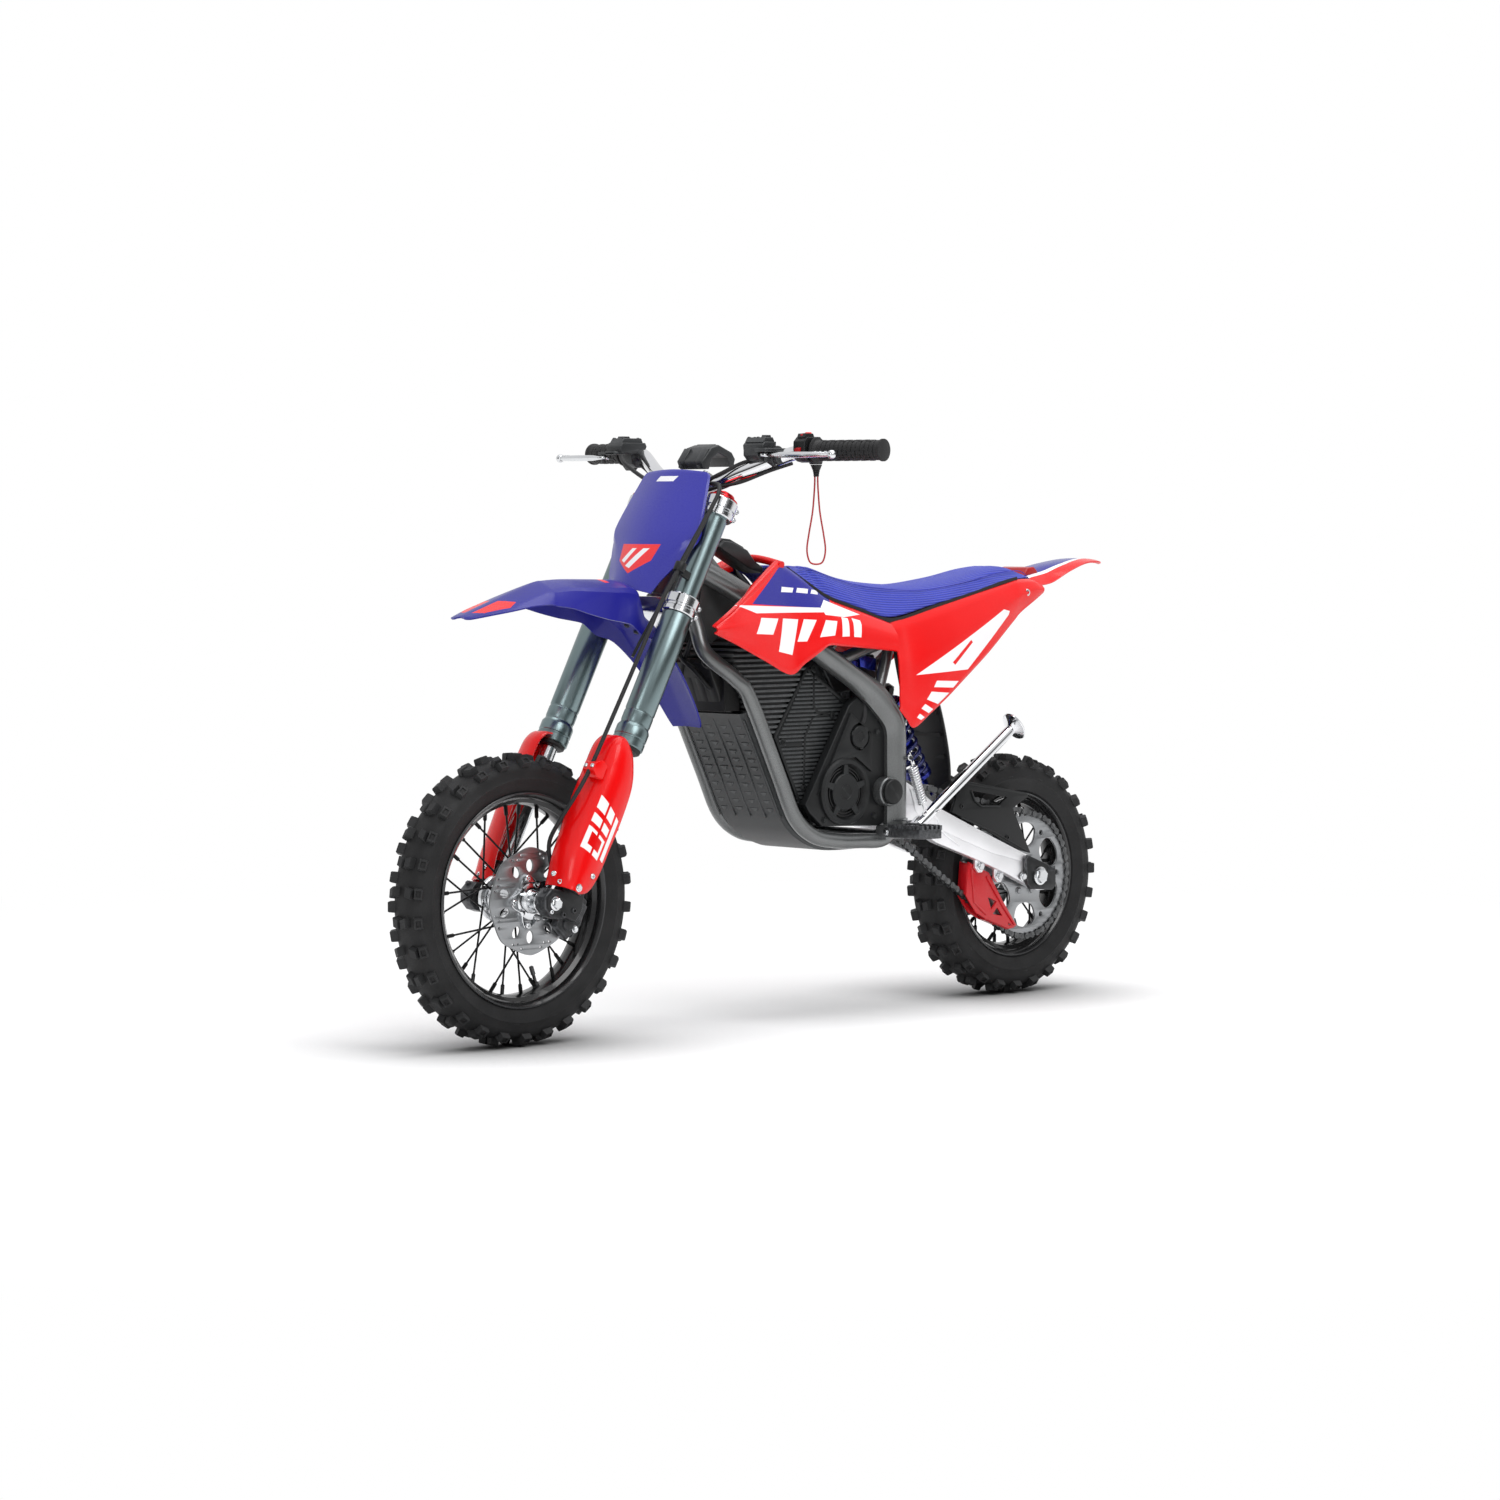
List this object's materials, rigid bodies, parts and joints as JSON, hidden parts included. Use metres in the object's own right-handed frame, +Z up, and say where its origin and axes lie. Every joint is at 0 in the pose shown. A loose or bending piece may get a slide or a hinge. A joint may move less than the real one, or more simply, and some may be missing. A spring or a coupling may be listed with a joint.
{
  "type": "youth electric off-road motorcycle",
  "caption": "Small electric off-road motorcycle with spoked knobby wheels, long-travel fork, rear mono shock, chain drive, ribbed bench seat and folded side stand.",
  "frame": {"origin": "on the floor, midway between the two axles and on the wheels' centre plane", "axes": "+X forward, +Y to the rider's left, +Z up"},
  "size_m": [1.501, 0.6565, 0.911],
  "materials": {
    "frame_paint": "dark gunmetal paint, satin",
    "black_paint": "black paint, semi-gloss",
    "alloy": "satin machined",
    "anodised": "titanium-grey anodised",
    "blue_metal": "blue, gloss",
    "steel": "brushed",
    "chrome": "polished",
    "tyre": "matte moulded rubber",
    "rubber": "matte",
    "black_plastic": "fine texture",
    "grey_plastic": "fine texture",
    "red_plastic": "gloss",
    "blue_plastic": "gloss",
    "seat_cover": "ribbed grip cover",
    "cord": "braided"
  },
  "bodies": {
    "frame": {"main_frame": "frame_paint", "battery_box": "black_plastic", "battery_top_cover": "grey_plastic", "motor_cover_left": "black_plastic", "motor_cover_right": "black_plastic", "motor_gearbox": "alloy", "seat": "seat_cover", "shroud_left": "red_plastic", "shroud_right": "red_plastic", "side_panel_left": "red_plastic", "side_panel_right": "red_plastic", "rear_fender": "red_plastic", "rear_mudflap": "black_plastic", "skid_plate": "grey_plastic", "swingarm_pivot_bolt": "black_paint"},
    "steering": {"lower_clamp": "alloy", "upper_clamp": "alloy", "fork_tube_left": "anodised", "fork_tube_right": "anodised", "handlebar": "chrome", "grip_left": "rubber", "master_cylinder_left": "alloy", "master_cylinder_right": "alloy", "kill_switch_housing": "black_plastic", "number_plate": "blue_plastic", "front_fender": "blue_plastic", "dash": "grey_plastic", "front_brake_hose": "rubber"},
    "throttle": {"grip_right": "rubber"},
    "brake_lever_left": {"lever_left": "alloy"},
    "brake_lever_right": {"lever_right": "alloy"},
    "kill_switch_pull": {"kill_switch_cap": "black_plastic", "lanyard_loop": "cord"},
    "start_switch": {"start_button": "red_plastic"},
    "fork_lower": {"fork_slider_left": "alloy", "fork_slider_right": "alloy", "fork_guard_left": "red_plastic", "fork_guard_right": "red_plastic", "front_axle": "steel", "front_brake_caliper": "black_paint"},
    "front_wheel": {"front_tyre": "tyre", "front_wheel_rim": "black_paint", "front_brake_disc": "steel"},
    "rear_arm": {"swingarm": "alloy", "rear_axle": "black_paint", "chain": "steel", "chain_guide": "red_plastic", "chain_guard": "black_plastic", "rear_brake_caliper": "black_paint"},
    "rear_wheel": {"rear_tyre": "tyre", "rear_wheel_rim": "black_paint", "rear_sprocket": "steel", "rear_brake_disc": "steel"},
    "chain_drive": {"drive_sprocket": "steel"},
    "damper_body": {"shock_body": "blue_metal", "shock_spring": "blue_metal"},
    "damper_rod": {"shock_rod": "chrome"},
    "stand": {"side_stand": "chrome"},
    "peg_left": {"footpeg_left": "black_paint"},
    "peg_right": {"footpeg_right": "black_paint"}
  },
  "joints": [
    {"name": "steer", "type": "hinge", "parent": "frame", "child": "steering", "pos_m": [0.4781, 0, 0.188], "axis": [-0.4738, 0, 0.8806], "range_deg": [-36, 36]},
    {"name": "throttle_twist", "type": "hinge", "parent": "steering", "child": "throttle", "pos_m": [0.0787, -0.318, 0.883], "axis": [-0.1768, -0.9842, 0], "range_deg": [0, 70], "stiffness_Nm_per_rad": 0.15, "springref_deg": -28.65},
    {"name": "squeeze_left_lever", "type": "hinge", "parent": "steering", "child": "brake_lever_left", "pos_m": [0.15, 0.146, 0.8765], "axis": [0, 0, 1], "range_deg": [0, 10], "stiffness_Nm_per_rad": 6, "springref_deg": -5.73},
    {"name": "squeeze_right_lever", "type": "hinge", "parent": "steering", "child": "brake_lever_right", "pos_m": [0.158, -0.212, 0.8755], "axis": [0, 0, -1], "range_deg": [0, 20], "stiffness_Nm_per_rad": 6, "springref_deg": -5.73},
    {"name": "pull_kill_cap", "type": "slide", "parent": "steering", "child": "kill_switch_pull", "axis": [0, 0, -1], "range_m": [0, 0.008], "stiffness_N_per_m": 60, "springref_m": -0.02},
    {"name": "press_start", "type": "slide", "parent": "steering", "child": "start_switch", "axis": [0, 0, -1], "range_m": [0, 0.002], "stiffness_N_per_m": 600, "springref_m": -0.002},
    {"name": "fork_travel", "type": "slide", "parent": "steering", "child": "fork_lower", "axis": [-0.4738, 0, 0.8806], "range_m": [0, 0.1], "stiffness_N_per_m": 8000, "springref_m": -0.035, "deforming": ["front_brake_hose"]},
    {"name": "front_wheel_spin", "type": "hinge", "parent": "fork_lower", "child": "front_wheel", "pos_m": [0.533, 0, 0.2175], "axis": [0, 1, 0], "continuous": true},
    {"name": "swingarm_travel", "type": "hinge", "parent": "frame", "child": "rear_arm", "pos_m": [-0.16, 0, 0.352], "axis": [0, 1, 0], "range_deg": [0, 13], "stiffness_Nm_per_rad": 1100, "springref_deg": -6.3},
    {"name": "rear_wheel_spin", "type": "hinge", "parent": "rear_arm", "child": "rear_wheel", "pos_m": [-0.533, 0, 0.197], "axis": [0, 1, 0], "continuous": true},
    {"name": "drive_sprocket_spin", "type": "hinge", "parent": "rear_arm", "child": "chain_drive", "pos_m": [-0.16, 0, 0.352], "axis": [0, 1, 0], "continuous": true},
    {"name": "shock_tilt", "type": "hinge", "parent": "frame", "child": "damper_body", "pos_m": [-0.247, 0, 0.506], "axis": [0, 1, 0], "range_deg": [0, 7.6]},
    {"name": "shock_stroke", "type": "slide", "parent": "damper_body", "child": "damper_rod", "axis": [0.5152, 0, 0.857], "range_m": [0, 0.037], "deforming": ["shock_spring"]},
    {"name": "stand_swing", "type": "hinge", "parent": "frame", "child": "stand", "pos_m": [-0.216, 0.104, 0.2896], "axis": [0.0501, -0.9718, -0.2304], "range_deg": [0, 112]},
    {"name": "fold_left_peg", "type": "hinge", "parent": "frame", "child": "peg_left", "pos_m": [-0.172, 0.11, 0.3015], "axis": [1, 0, 0], "range_deg": [0, 60], "stiffness_Nm_per_rad": 1.5, "springref_deg": -17.19},
    {"name": "fold_right_peg", "type": "hinge", "parent": "frame", "child": "peg_right", "pos_m": [-0.172, -0.11, 0.3015], "axis": [-1, 0, 0], "range_deg": [0, 60], "stiffness_Nm_per_rad": 1.5, "springref_deg": -17.19}
  ],
  "couplings": [
    {"joint": "drive_sprocket_spin", "follows": "rear_wheel_spin", "ratio": 3.8462},
    {"joint": "shock_tilt", "follows": "swingarm_travel", "ratio": 0.5644},
    {"joint": "shock_stroke", "follows": "swingarm_travel", "m_per_rad": 0.15789}
  ]
}
